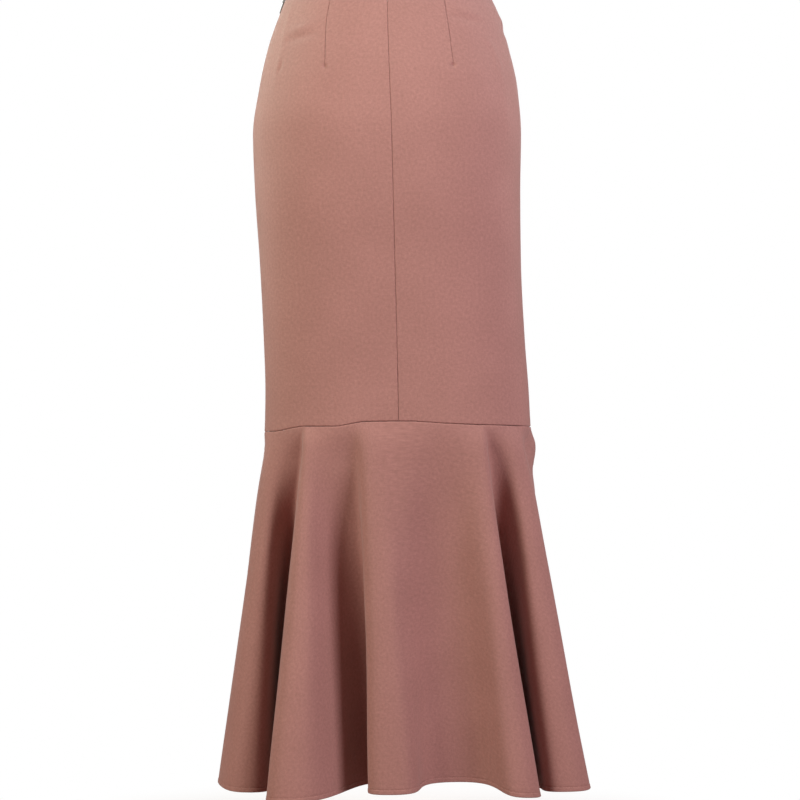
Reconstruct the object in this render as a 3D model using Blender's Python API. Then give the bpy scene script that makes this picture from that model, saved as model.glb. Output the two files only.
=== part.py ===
"""Mermaid fishtail skirt in its worn shape.

A long fitted body of one front and two back panels carries a circular-cut flounce in two
pieces. A closed invisible zip sits in the left side seam, and its pull tab hangs outside.

The tables are in millimetres. X points to the wearer's right, Y to the front and Z up, and
the origin is the middle of the waist opening. Angles go round a section from 0 at the
centre back, through 90 at the right side seam and 180 at the centre front.
"""

import math

import bmesh
import bpy
import numpy as np
from mathutils import Matrix, Vector

MM = 0.001

# Cloth
WALL = 1.5
SEAM_GAP = 0.3
HEM_TURN = 8.0
HEM_WALL = 2.7

# Body: the outside of the cloth at each height
SECTION_COLUMNS = ("z", "left", "right", "back", "front", "side_y", "square", "seam_x")
SECTIONS = (
    (0, -124, 126, -91, 97, 6, 2.10, -1.0),
    (-35, -138, 142, -104, 105, 4, 2.12, 0.0),
    (-80, -153, 155, -120, 111, 1, 2.15, 1.2),
    (-130, -163.5, 165.5, -134, 113, -3, 2.20, 3.0),
    (-190, -171.5, 170, -141, 112, -6, 2.22, 5.4),
    (-260, -169, 169, -138, 110, -6, 2.22, 7.2),
    (-350, -163, 170, -127, 108, -4, 2.25, 9.4),
    (-450, -158, 175, -117, 106, -2, 2.28, 12.0),
    (-515, -156, 180, -112, 104, -1, 2.30, 13.4),
    (-575, -157, 183, -110, 103, 0, 2.30, 14.4),
)
BODY_ROWS = 17
BACK_COLUMNS = 18
FRONT_COLUMNS = 34

# Darts: each one's line as (x, z) points from the waist to its tip, and how far it sinks in
DARTS = {
    "back_left": ((-66, 0), (-71.4, -34), (-75.4, -64), (-76.5, -118)),
    "back_right": ((67, 0), (71.2, -34), (76.4, -72), (81.5, -116)),
    "front_right": ((64, 0), (70, -50), (78, -92)),
    "front_left": ((-64, 0), (-69, -45), (-76, -92)),
}
DART_SINK = 0.7
DART_RUN_OUT = 3.0
DART_BLEND_Z = -330.0
# Shares of a panel's width: half a dart's groove, and what is kept free of other columns
GROOVE_SHARE = 0.024
GROOVE_CLEAR = 0.053

# The seam that the flounce hangs from, as angles and heights
FLOUNCE_SEAM = (
    (-84, -568), (-68, -565), (-50, -562), (-35, -560), (-22, -558), (-8, -553), (16, -556),
    (34, -558), (50, -559), (65, -560), (80, -561), (97, -562), (113, -563), (128, -564),
    (193, -564), (211, -565), (229, -566), (246, -567), (262, -568), (276, -568),
)

# Flounce: a row for each fold, from the left side round the back and the front. Crests and
# sides are on the flounce's outer ring, and valleys fall in from it. heading is the way the
# hem runs in plan at the fold, reach_in and reach_out how far it keeps that way, pop how far
# the cloth stands off just under the seam, and growth the share of the depth in which the
# fold opens.
FOLD_COLUMNS = (
    "fold", "seam_angle", "hem_x", "hem_y", "hem_z", "heading", "reach_in", "reach_out", "pop",
    "growth",
)
FOLDS = (
    ("side_KA", -84, -217, 10, -1017, -88, 20, 20, -3, 0.30),
    ("crest_A", -67, -181, -66, -1018, -6, 30, 44, 0.5, 0.30),
    ("valley_AB", -43.5, -128, 18, -1026, 14, 30, 48, 0, 0.33),
    ("crest_B", -38, -111, -132, -1019, 3, 98, 54, 3, 0.28),
    ("valley_BC", -19.5, -12, -24, -1013, 6, 36, 50, 0, 0.44),
    ("crest_C", -9, 11.5, -122, -1011, 3, 88, 52, 3, 0.38),
    ("valley_CD", 14, 87, -60, -1006, 3, 70, 64, 0, 0.36),
    ("crest_D", 33.5, 169, -103, -1018, 12, 44, 55, 3, 0.30),
    ("valley_DE", 39.5, 184, 14, -1026, 10, 26, 30, 0, 0.34),
    ("crest_E", 56, 222, -69, -1017, 5, 48, 58, 3, 0.28),
    ("side_EF", 76, 230, 32, -1017, 118, 46, 16, -8, 0.30),
    ("crest_F", 94, 206, 76, -1018, 130, 24, 28, 7.5, 0.30),
    ("valley_FG", 113, 166, 60, -1022, 165, 24, 26, 0, 0.32),
    ("crest_G", 128, 154, 144, -1018, 165, 46, 46, 3, 0.32),
    ("valley_GH", 145, 92, 50, -1021, 175, 30, 30, 0, 0.32),
    ("crest_H", 160, 58, 162, -1017, 178, 54, 54, 3, 0.34),
    ("valley_HI", 176, 6, 54, -1021, 180, 30, 30, 0, 0.36),
    ("crest_I", 193, -44, 158, -1017, 184, 54, 48, 3, 0.34),
    ("valley_IJ", 211, -88, 54, -1022, 188, 30, 30, 0, 0.32),
    ("crest_J", 229, -140, 136, -1018, 205, 48, 46, 3, 0.32),
    ("valley_JK", 246, -148, 52, -1022, 225, 24, 24, 0, 0.32),
    ("crest_K", 262, -204, 70, -1018, 246, 30, 30, -1, 0.30),
)
GROWTH_START = 1.5
POP_LENGTH = 0.06
SOFT_FALL = 6.0
# Shares of the flounce's depth for its rows, above the hem's turned edge
FLOUNCE_ROWS = (0, 0.03, 0.06, 0.10, 0.15, 0.22, 0.31, 0.42, 0.54, 0.67, 0.80, 0.91)
TURN_STEP = 0.004
FLOUNCE_COLUMNS = 96
# How much hem a bend of one radian counts for when the columns are spaced
BEND_LENGTH = 27.0

# Zip: p is the distance out of the cloth, q the distance down it, both from the pull's axis
ZIP_LENGTH = 190.0
ZIP_TOP = -3.0
PIVOT_Z = -16.5
TAPE_THICK = 0.7
TAPE_GAP = 0.5
TAPE_FROM_SEAM = 1.2
TAPE_WIDTH = 11.0
COIL_WIDTH = 3.4
COIL_THICK = 1.5
COIL_BELOW_SLIDER = 0.4
COIL_ABOVE_END = 4.0
ZIP_STRIP_COLUMNS = 4
SLIDER_BODY = (13.0, 8.0, 3.2)
SLIDER_ABOVE_AXIS = 0.5
BRIDGE_HALF = 2.6
BRIDGE_THICK = 1.2
BRIDGE_FOOT = 0.3
BRIDGE_OVER_EYE = 0.65
NECK_THICK = 1.0
NECK_HALF = 2.3
NECK_ROOT = 1.0
NECK_TOP = 0.6
PIVOT_OUT = 1.9
EYE_RADIUS = 0.65
EYE_CLEARANCE = 0.4
EYE_SIDES = 12
TAB_THICK = 1.1
TAB_LENGTH = 17.0
TAB_WIDTH = 5.4
TAB_NECK_WIDTH = 4.0
TAB_SHOULDER = 4.5
TAB_END_STEPS = 8
TAB_LEAN = 3.0
SLOT_END = 3.7
# How far a tool that cuts goes past what it cuts
CUT_PAST = 3.0
# The side seam is parted for the slider's neck, and closed again this far from the axis
SLIT_PARTED = BRIDGE_HALF + 1
SLIT_CLOSED = BRIDGE_HALF + 8
BELOW_SLIT = 7.0

# Colours are linear
CLOTH_COLOUR = (0.39, 0.18, 0.145, 1.0)
TAPE_COLOUR = (0.36, 0.165, 0.135, 1.0)
COIL_COLOUR = (0.42, 0.21, 0.17, 1.0)
METAL_COLOUR = (0.55, 0.50, 0.48, 1.0)


def clear_scene():
    for obj in list(bpy.data.objects):
        bpy.data.objects.remove(obj, do_unlink=True)


def material(name, colour, roughness, metallic=0.0):
    made = bpy.data.materials.new(name)
    made.use_nodes = True
    shader = made.node_tree.nodes["Principled BSDF"]
    shader.inputs["Base Color"].default_value = colour
    shader.inputs["Roughness"].default_value = roughness
    shader.inputs["Metallic"].default_value = metallic
    return made


def monotone_slopes(keys, values):
    """Slopes for a curve through the values that never overshoots them."""
    steps = np.diff(values) / np.diff(keys)
    slopes = np.zeros(len(values))
    slopes[0] = steps[0]
    slopes[-1] = steps[-1]
    for i in range(1, len(values) - 1):
        if steps[i - 1] * steps[i] > 0:
            slopes[i] = 2 * steps[i - 1] * steps[i] / (steps[i - 1] + steps[i])
    return slopes


def smooth_table(keys, values):
    """A smooth function through a table whose keys rise."""
    keys = np.array(keys, float)
    values = np.array(values, float)
    slopes = monotone_slopes(keys, values)

    def at(key):
        key = min(max(key, keys[0]), keys[-1])
        i = int(min(np.searchsorted(keys, key, side="right") - 1, len(keys) - 2))
        width = keys[i + 1] - keys[i]
        t = (key - keys[i]) / width
        start = (1 + 2 * t) * (1 - t) ** 2 * values[i] + t * (1 - t) ** 2 * width * slopes[i]
        end = t * t * (3 - 2 * t) * values[i + 1] - t * t * (1 - t) * width * slopes[i + 1]
        return start + end

    return at


def section_tables():
    rows = SECTIONS[::-1]
    heights = [row[0] for row in rows]
    return {
        name: smooth_table(heights, [row[i] for row in rows])
        for i, name in enumerate(SECTION_COLUMNS)
        if i
    }


SECTION = section_tables()


def body_point(angle, z):
    """The outside of the body at an angle in degrees and a height."""
    left, right = SECTION["left"](z), SECTION["right"](z)
    side_y = SECTION["side_y"](z)
    power = 2 / SECTION["square"](z)
    sine, cosine = math.sin(math.radians(angle)), math.cos(math.radians(angle))
    x = (left + right) / 2 + (right - left) / 2 * math.copysign(abs(sine) ** power, sine)
    depth = side_y - SECTION["back"](z) if cosine > 0 else SECTION["front"](z) - side_y
    y = side_y - depth * math.copysign(abs(cosine) ** power, cosine)
    return np.array((x, y, z))


def body_normal(angle, z, level=False):
    """The way out of the cloth. level keeps it horizontal, as at a cut edge."""
    round_way = body_point(angle + 0.5, z) - body_point(angle - 0.5, z)
    if level:
        way = np.array((round_way[1], -round_way[0], 0.0))
    else:
        up_way = body_point(angle, z + 1) - body_point(angle, z - 1)
        way = np.cross(round_way, up_way)
    return way / np.linalg.norm(way)


def angle_at_x(x, z, front=False):
    """The angle at which the body has this x, at the back or the front."""
    left, right = SECTION["left"](z), SECTION["right"](z)
    share = (x - (left + right) / 2) / ((right - left) / 2)
    sine = math.copysign(abs(share) ** (SECTION["square"](z) / 2), share)
    angle = math.degrees(math.asin(sine))
    return 180 - angle if front else angle


def angle_beside_left_seam(distance, z):
    """The angle this far in y from the left side seam, to the front where it is positive."""
    side_y = SECTION["side_y"](z)
    depth = SECTION["front"](z) - side_y if distance > 0 else side_y - SECTION["back"](z)
    cosine = (abs(distance) / depth) ** (SECTION["square"](z) / 2)
    return -90 - math.copysign(90 - math.degrees(math.acos(cosine)), distance)


DART_X = {
    name: smooth_table([z for _, z in line[::-1]], [x for x, _ in line[::-1]])
    for name, line in DARTS.items()
}
SEAM_HEIGHT = smooth_table(*zip(*FLOUNCE_SEAM))


def seam_height(angle):
    """The height of the flounce seam at an angle."""
    first = FLOUNCE_SEAM[0][0]
    return SEAM_HEIGHT(first + (angle - first) % 360)


def column(name):
    """A column of the fold table."""
    index = FOLD_COLUMNS.index(name)
    return [row[index] for row in FOLDS]


def round_table(name, places, turn=0.0):
    """A smooth curve through a column of the fold table at some of its places, all round."""
    values = column(name)
    rows = [(place, values[place]) for place in places]
    before = [(place - len(FOLDS), value - turn) for place, value in rows[-2:]]
    after = [(place + len(FOLDS), value + turn) for place, value in rows[:2]]
    return smooth_table(*zip(*before, *rows, *after))


ALL_FOLDS = range(len(FOLDS))
ON_RING = [i for i, name in enumerate(column("fold")) if not name.startswith("valley")]
FOLD_ANGLE = round_table("seam_angle", ALL_FOLDS, 360.0)
FOLD_HEADING = round_table("heading", ALL_FOLDS, 360.0)
FOLD_HEM_Z = round_table("hem_z", ALL_FOLDS)
FOLD_POP = round_table("pop", ALL_FOLDS)
FOLD_GROWTH = round_table("growth", ALL_FOLDS)
RING_X = round_table("hem_x", ON_RING)
RING_Y = round_table("hem_y", ON_RING)

HEM_CORNERS = np.stack([column("hem_x"), column("hem_y")], axis=-1)
HEM_TURNS = np.radians(column("heading"))
HEM_WAYS = np.stack([np.cos(HEM_TURNS), np.sin(HEM_TURNS)], axis=-1)
HEM_LEAVING = HEM_CORNERS + HEM_WAYS * np.array(column("reach_out"))[:, None]
HEM_ARRIVING = HEM_CORNERS - HEM_WAYS * np.array(column("reach_in"))[:, None]


def hem_plan(fold_place):
    """The hem in plan. A whole number is a fold of the table, and between folds it bends."""
    place = fold_place % len(FOLDS)
    start = int(place)
    end = (start + 1) % len(FOLDS)
    t = place - start
    near = (1 - t) ** 3 * HEM_CORNERS[start] + 3 * (1 - t) ** 2 * t * HEM_LEAVING[start]
    return near + 3 * (1 - t) * t * t * HEM_ARRIVING[end] + t**3 * HEM_CORNERS[end]


def flounce_point(fold_place, t):
    """The outside of the flounce, from t = 0 at the seam to 1 at the hem.

    The ring that the crests lie on widens evenly, and the folds deepen fast at first."""
    place = fold_place % len(FOLDS)
    angle = FOLD_ANGLE(place)
    top = body_point(angle, seam_height(angle) - SEAM_GAP / 2)
    hem = np.append(hem_plan(place), FOLD_HEM_Z(place))
    ring = np.array((RING_X(place), RING_Y(place), hem[2]))
    heading = math.radians(FOLD_HEADING(place))
    out = np.array((math.sin(heading), -math.cos(heading), 0.0))
    fall = float(np.dot(ring - hem, out))
    depth = (fall + math.hypot(fall, SOFT_FALL)) / 2
    grown = 1 - math.exp(-((t / FOLD_GROWTH(place)) ** GROWTH_START))
    pop = FOLD_POP(place) * (t / POP_LENGTH * math.exp(1 - t / POP_LENGTH)) ** 2
    return top + (hem - top) * t + out * (pop - depth * (grown - t))


def flounce_normal(fold_place, t):
    if t <= 0:
        angle = FOLD_ANGLE(fold_place % len(FOLDS))
        return body_normal(angle, seam_height(angle), level=True)
    step = 0.02
    along = flounce_point(fold_place + step, t) - flounce_point(fold_place - step, t)
    down = flounce_point(fold_place, min(t + step, 1)) - flounce_point(fold_place, t - step / 4)
    way = np.cross(along, -down)
    return way / np.linalg.norm(way)


def fold_place_at(angle):
    """The place in the fold table whose seam lies at this angle."""
    low, high = 0.0, float(len(FOLDS))
    while angle < FOLD_ANGLE(low):
        angle += 360
    for _ in range(50):
        middle = (low + high) / 2
        if FOLD_ANGLE(middle) < angle:
            low = middle
        else:
            high = middle
    return (low + high) / 2


def spaced_places(start, end, count):
    """Places along the hem, evenly apart in length, but closer together where it bends."""
    fine = np.linspace(start, end, 1200)
    steps = np.diff([hem_plan(place) for place in fine], axis=0)
    turns = np.abs(np.diff(np.unwrap(np.arctan2(steps[:, 1], steps[:, 0])), prepend=0))
    turns[0] = 0
    weights = np.linalg.norm(steps, axis=1) + BEND_LENGTH * turns
    reached = np.append(0, np.cumsum(weights))
    return np.interp(np.linspace(0, reached[-1], count + 1), reached, fine)


def wall_object(name, outer, inner, surface):
    """A closed wall between two grids of points, indexed by row down and column to the right."""
    rows, columns = outer.shape[:2]
    points = np.concatenate([outer.reshape(-1, 3), inner.reshape(-1, 3)]) * MM
    inside = rows * columns
    faces = []
    for row in range(rows - 1):
        for column in range(columns - 1):
            a = row * columns + column
            b, c, d = a + columns, a + columns + 1, a + 1
            faces.append((a, b, c, d))
            faces.append((a + inside, d + inside, c + inside, b + inside))
    for column in range(columns - 1):
        top, bottom = column, (rows - 1) * columns + column
        faces.append((top, top + 1, top + 1 + inside, top + inside))
        faces.append((bottom + 1, bottom, bottom + inside, bottom + 1 + inside))
    for row in range(rows - 1):
        left, right = row * columns, (row + 1) * columns - 1
        faces.append((left + columns, left, left + inside, left + columns + inside))
        faces.append((right, right + columns, right + columns + inside, right + inside))
    return mesh_object(name, points, faces, surface)


def mesh_object(name, points, faces, surface):
    mesh = bpy.data.meshes.new(name)
    mesh.from_pydata([tuple(point) for point in points], [], faces)
    mesh.validate()
    mesh.shade_smooth()
    mesh.set_sharp_from_angle(angle=math.radians(40))
    mesh.materials.append(surface)
    obj = bpy.data.objects.new(name, mesh)
    bpy.context.scene.collection.objects.link(obj)
    return obj


def eased(share):
    share = min(max(share, 0), 1)
    return share * share * (3 - 2 * share)


def slit_half_gap(z):
    """Half the gap at the left side seam, which the slider's neck parts."""
    parted = NECK_THICK / 2 + SEAM_GAP
    rest = SEAM_GAP / 2
    share = (SLIT_CLOSED - abs(z - PIVOT_Z)) / (SLIT_CLOSED - SLIT_PARTED)
    return rest + (parted - rest) * eased(share)


def body_heights():
    """Shares of the body's length for its rows, with some at the ends of the slider's slit."""
    length = -seam_height(0)
    slit = (-SLIT_CLOSED, -SLIT_PARTED, SLIT_PARTED, SLIT_CLOSED)
    near_zip = [(off - PIVOT_Z) / length for off in slit]
    below = (SLIT_CLOSED - PIVOT_Z + BELOW_SLIT) / length
    return [0.0] + near_zip + list(np.linspace(below, 1, BODY_ROWS - len(near_zip)))


def with_groove(shares, middle):
    """Shares of a panel's width, with a dart's line and a column on each side of it."""
    kept = [share for share in shares if abs(share - middle) > GROOVE_CLEAR]
    return sorted(kept + [middle - GROOVE_SHARE, middle, middle + GROOVE_SHARE])


def dart_angle(dart, z, natural):
    """The angle of a dart's line, which fades below its tip to the panel's own run."""
    tip_z = DARTS[dart][-1][1]
    angle = angle_at_x(DART_X[dart](z), z, dart.startswith("front"))
    return angle + (natural - angle) * eased((z - tip_z) / (DART_BLEND_Z - tip_z))


def dart_sink(share, z, darts, middles):
    """How far a point of a panel is sunk in, which it is where it lies on a dart's line."""
    for dart, middle in zip(darts, middles):
        tip_z = DARTS[dart][-1][1]
        if math.isclose(share, middle) and z > tip_z:
            return DART_SINK * min(1, DART_RUN_OUT * (1 - z / tip_z))
    return 0.0


def body_panel(name, start_angle, end_angle, columns, darts, zip_edge, surface):
    """A body panel between two seams, whose angles are functions of the height.

    zip_edge is the edge beside the zip: 0 for the first, -1 for the last, or None."""
    low, high = start_angle(0), end_angle(0)
    middles = [(dart_angle(dart, 0, 0) - low) / (high - low) for dart in darts]
    shares = list(np.linspace(0, 1, columns + 1))
    for middle in middles:
        shares = with_groove(shares, middle)
    keys = [0.0, *middles, 1.0]
    outer, inner = [], []
    heights = body_heights()
    for row, share_down in enumerate(heights):
        near_z = share_down * seam_height(0)
        low, high = start_angle(near_z), end_angle(near_z)
        lines = [
            dart_angle(dart, near_z, low + (high - low) * middle)
            for dart, middle in zip(darts, middles)
        ]
        outer_row, inner_row = [], []
        for share in shares:
            angle = float(np.interp(share, keys, [low, *lines, high]))
            z = share_down * (seam_height(angle) + SEAM_GAP / 2)
            at_edge = row in (0, len(heights) - 1)
            normal = body_normal(angle, z, level=at_edge)
            point = body_point(angle, z)
            inner_row.append(point - normal * WALL)
            outer_row.append(point - normal * dart_sink(share, z, darts, middles))
        outer.append(outer_row)
        inner.append(inner_row)
    outer, inner = np.array(outer), np.array(inner)
    part_edges(outer, inner, zip_edge)
    return wall_object(name, outer, inner, surface)


def part_edges(outer, inner, zip_edge):
    """Moves a panel's two upright edges back from its seams, half a gap each."""
    for grid in (outer, inner):
        for edge, beside in ((0, 1), (-1, -2)):
            for row in grid:
                way = row[beside] - row[edge]
                way[2] = 0
                way = way / np.linalg.norm(way)
                half = slit_half_gap(row[edge][2]) if edge == zip_edge else SEAM_GAP / 2
                row[edge] += way * half


def flounce_panel(name, start_angle, end_angle, surface):
    start, end = fold_place_at(start_angle), fold_place_at(end_angle)
    if end < start:
        end += len(FOLDS)
    places = spaced_places(start, end, FLOUNCE_COLUMNS)
    length = abs(flounce_point(start, 1)[2] - flounce_point(start, 0)[2])
    turn = 1 - HEM_TURN / length
    outer, inner = [], []
    for t in (*FLOUNCE_ROWS, turn - TURN_STEP, turn, 1):
        wall = HEM_WALL if t >= turn else WALL
        points = [flounce_point(place, t) for place in places]
        normals = [flounce_normal(place, t) for place in places]
        outer.append(points)
        inner.append([point - normal * wall for point, normal in zip(points, normals)])
    outer, inner = np.array(outer), np.array(inner)
    for grid in (outer, inner):
        for edge, beside in ((0, 1), (-1, -2)):
            way = grid[:, beside] - grid[:, edge]
            way /= np.linalg.norm(way, axis=1)[:, None]
            grid[:, edge] += way * SEAM_GAP / 2
    return wall_object(name, outer, inner, surface)


def seam_side_point(distance, z, depth):
    """A point inside the panels beside the left seam, on the flat stretch between two rows."""
    length = -seam_height(-90)
    rows = [-share * length for share in body_heights()]
    upper = max(i for i in range(len(rows) - 1) if rows[i] >= z)
    ends = []
    for row in (upper, upper + 1):
        angle = angle_beside_left_seam(distance, rows[row])
        normal = body_normal(angle, rows[row], level=row == 0)
        ends.append(body_point(angle, rows[row]) - normal * depth)
    share = (rows[upper] - z) / (rows[upper] - rows[upper + 1])
    return ends[0] + (ends[1] - ends[0]) * share


def zip_strip(name, start_z, end_z, from_y, to_y, depth, thick, surface):
    """A flat strip inside the left side seam, with its rows where the panels have theirs."""
    length = -seam_height(-90)
    between = [-share * length for share in body_heights()]
    heights = [start_z] + [z for z in between if end_z + 1 < z < start_z - 1] + [end_z]
    columns = np.linspace(to_y, from_y, ZIP_STRIP_COLUMNS)
    outer = [[seam_side_point(y, z, depth) for y in columns] for z in heights]
    inner = [[seam_side_point(y, z, depth + thick) for y in columns] for z in heights]
    return wall_object(name, np.array(outer), np.array(inner), surface)


def zip_axes():
    """The pull's axis point on the cloth, and the ways out of the cloth and down it."""
    point = body_point(-90, PIVOT_Z)
    down = body_point(-90, PIVOT_Z - 8) - body_point(-90, PIVOT_Z + 8)
    down[1] = 0
    down /= np.linalg.norm(down)
    out = np.array((down[2], 0, -down[0]))
    return point, out, down


def box(name, low, high, surface):
    """A box in the zip's own axes: p out of the cloth, y across it and q down it."""
    corners = [
        (p, y, q)
        for p in (low[0], high[0])
        for y in (low[1], high[1])
        for q in (low[2], high[2])
    ]
    faces = [(0, 1, 3, 2), (4, 6, 7, 5), (0, 4, 5, 1), (2, 3, 7, 6), (0, 2, 6, 4), (1, 5, 7, 3)]
    return mesh_object(name, np.array(corners) * MM, faces, surface)


def outline_plate(name, outline, low_p, high_p, surface):
    """A plate with an outline of (y, q) points, between two distances out of the cloth."""
    count = len(outline)
    points = [(p, y, q) for p in (low_p, high_p) for y, q in outline]
    faces = [tuple(range(count)), tuple(range(2 * count - 1, count - 1, -1))]
    for i in range(count):
        j = (i + 1) % count
        faces.append((i, i + count, j + count, j))
    return mesh_object(name, np.array(points) * MM, faces, surface)


def face_out(obj):
    """Turns an object's faces outwards."""
    shape = bmesh.new()
    shape.from_mesh(obj.data)
    bmesh.ops.recalc_face_normals(shape, faces=shape.faces)
    shape.to_mesh(obj.data)
    shape.free()
    return obj


def combine(obj, other, operation):
    modifier = obj.modifiers.new(other.name, "BOOLEAN")
    modifier.operation = operation
    modifier.object = other
    other.hide_render = True
    other.display_type = "WIRE"
    return modifier


def place_on_zip(objects):
    point, out, down = zip_axes()
    turn = Matrix(
        (
            (out[0], 0, down[0], point[0] * MM),
            (out[1], 1, down[1], point[1] * MM),
            (out[2], 0, down[2], point[2] * MM),
            (0, 0, 0, 1),
        )
    )
    for obj in objects:
        obj.data.transform(turn)
        face_out(obj)


def slider(surface):
    length, width, thick = SLIDER_BODY
    top_p = -(WALL + TAPE_GAP + TAPE_THICK + SEAM_GAP)
    body = box(
        "zip_slider",
        (top_p - thick, -width / 2, -length / 2 - SLIDER_ABOVE_AXIS),
        (top_p, width / 2, length / 2 - SLIDER_ABOVE_AXIS),
        surface,
    )
    neck = box(
        "slider_neck",
        (top_p - NECK_ROOT, -NECK_THICK / 2, -NECK_HALF),
        (NECK_TOP, NECK_THICK / 2, NECK_HALF),
        surface,
    )
    reach = EYE_RADIUS + EYE_CLEARANCE
    bridge = box(
        "slider_bridge",
        (BRIDGE_FOOT, -BRIDGE_THICK / 2, -BRIDGE_HALF),
        (PIVOT_OUT + reach + BRIDGE_OVER_EYE, BRIDGE_THICK / 2, BRIDGE_HALF),
        surface,
    )
    window = box(
        "slider_window",
        (PIVOT_OUT - reach, -CUT_PAST, -reach),
        (PIVOT_OUT + reach, CUT_PAST, reach),
        surface,
    )
    place_on_zip((body, neck, bridge, window))
    combine(bridge, window, "DIFFERENCE")
    combine(body, neck, "UNION")
    combine(body, bridge, "UNION")
    return body


def tab_outline():
    """The pull tab: square shoulders, sides that widen, and a round end."""
    radius = TAB_WIDTH / 2
    centre = TAB_LENGTH - radius
    half_neck = TAB_NECK_WIDTH / 2
    points = [(-half_neck, -EYE_RADIUS), (half_neck, -EYE_RADIUS), (half_neck, TAB_SHOULDER)]
    for step in range(TAB_END_STEPS + 1):
        turn = math.pi * step / TAB_END_STEPS
        points.append((radius * math.cos(turn), centre + radius * math.sin(turn)))
    points.append((-half_neck, TAB_SHOULDER))
    return points


def pull_tab(surface):
    low_p, high_p = PIVOT_OUT - TAB_THICK / 2, PIVOT_OUT + TAB_THICK / 2
    tab = outline_plate("zip_pull", tab_outline(), low_p, high_p, surface)
    half_slot = BRIDGE_THICK / 2 + EYE_CLEARANCE
    slot = box(
        "tab_slot",
        (low_p - CUT_PAST, -half_slot, -CUT_PAST),
        (high_p + CUT_PAST, half_slot, SLOT_END),
        surface,
    )
    bpy.ops.mesh.primitive_cylinder_add(
        vertices=EYE_SIDES, radius=EYE_RADIUS * MM, depth=TAB_NECK_WIDTH * MM
    )
    eye = bpy.context.object
    eye.name = "tab_eye"
    pivot = Vector((PIVOT_OUT * MM, 0, 0))
    eye.data.transform(Matrix.Translation(pivot) @ Matrix.Rotation(math.pi / 2, 4, "X"))
    lean = Matrix.Rotation(math.radians(-TAB_LEAN), 4, "Y")
    about_pivot = Matrix.Translation(pivot) @ lean @ Matrix.Translation(-pivot)
    for obj in (tab, slot, eye):
        obj.data.transform(about_pivot)
    place_on_zip((tab, slot, eye))
    combine(tab, slot, "DIFFERENCE")
    combine(tab, eye, "UNION")
    return tab


def centre_back(z):
    return angle_at_x(SECTION["seam_x"](z), z)


def body_panels(cloth):
    body_panel("back_panel_left", lambda z: -90, centre_back, BACK_COLUMNS,
               ("back_left",), 0, cloth)
    body_panel("back_panel_right", centre_back, lambda z: 90, BACK_COLUMNS,
               ("back_right",), None, cloth)
    body_panel("front_panel", lambda z: 90, lambda z: 270, FRONT_COLUMNS,
               ("front_right", "front_left"), -1, cloth)


def zip_parts(tape, coil, metal):
    depth = WALL + TAPE_GAP
    near, far = TAPE_FROM_SEAM, TAPE_FROM_SEAM + TAPE_WIDTH
    zip_strip("zip_tape_front", ZIP_TOP, -ZIP_LENGTH, near, far, depth, TAPE_THICK, tape)
    zip_strip("zip_tape_back", ZIP_TOP, -ZIP_LENGTH, -far, -near, depth, TAPE_THICK, tape)
    start_z = PIVOT_Z - SLIDER_BODY[0] / 2 - COIL_BELOW_SLIDER
    end_z = COIL_ABOVE_END - ZIP_LENGTH
    depth += TAPE_THICK + SEAM_GAP
    half = COIL_WIDTH / 2
    zip_strip("zip_coil", start_z, end_z, -half, half, depth, COIL_THICK, coil)
    slider(metal)
    pull_tab(metal)


def main():
    clear_scene()
    cloth = material("dusty rose crepe", CLOTH_COLOUR, 0.85)
    tape = material("zip tape", TAPE_COLOUR, 0.9)
    coil = material("nylon coil", COIL_COLOUR, 0.5)
    metal = material("plated zinc", METAL_COLOUR, 0.3, 1.0)
    body_panels(cloth)
    flounce_panel("flounce_back", -90, 90, cloth)
    flounce_panel("flounce_front", 90, 270, cloth)
    zip_parts(tape, coil, metal)


main()
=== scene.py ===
import math

import bmesh
import bpy
import numpy as np
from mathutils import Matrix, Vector


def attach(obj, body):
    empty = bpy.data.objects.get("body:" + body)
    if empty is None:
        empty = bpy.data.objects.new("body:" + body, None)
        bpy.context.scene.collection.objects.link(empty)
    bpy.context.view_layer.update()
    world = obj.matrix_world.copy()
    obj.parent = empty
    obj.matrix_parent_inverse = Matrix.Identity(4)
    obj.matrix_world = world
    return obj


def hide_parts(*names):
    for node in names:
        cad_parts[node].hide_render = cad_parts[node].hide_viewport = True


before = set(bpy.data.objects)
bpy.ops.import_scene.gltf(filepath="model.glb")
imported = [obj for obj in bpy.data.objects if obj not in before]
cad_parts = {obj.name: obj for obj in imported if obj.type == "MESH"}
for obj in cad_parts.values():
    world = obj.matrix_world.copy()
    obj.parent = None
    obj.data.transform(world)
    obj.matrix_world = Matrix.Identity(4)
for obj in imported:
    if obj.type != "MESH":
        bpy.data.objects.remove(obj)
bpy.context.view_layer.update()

# ------------------------
# Back panels. Two halves of dusty rose crepe-faced double knit, cut with a long waist dart
# each and sewn together down the centre back. The seams are pressed open inside, so the
# cloth rolls in to a fine groove at each one.

# Lengths are in millimetres up to the mesh. X points to the wearer's right, Y to the front
# and Z up. Angles go round from 0 at the centre back, through 90 at the right side seam.
MM = 0.001
CLOTH = 1.2
ROLL = 1.0
KNEE_ROLL = 1.6
SEAM_GAP = 0.1

# The mesh's own step, and its closer rows at these distances from a seam or a fold
BODY_STEP = 3.0
CROWDED = (0.25, 0.55, 0.9, 1.4, 2.1, 3.2, 5.0)

# The inside of the cloth follows these shares of the outside's rolled edges and grooves.
INSIDE_ROLL = 0.35
INSIDE_GROOVE = 0.5

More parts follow.
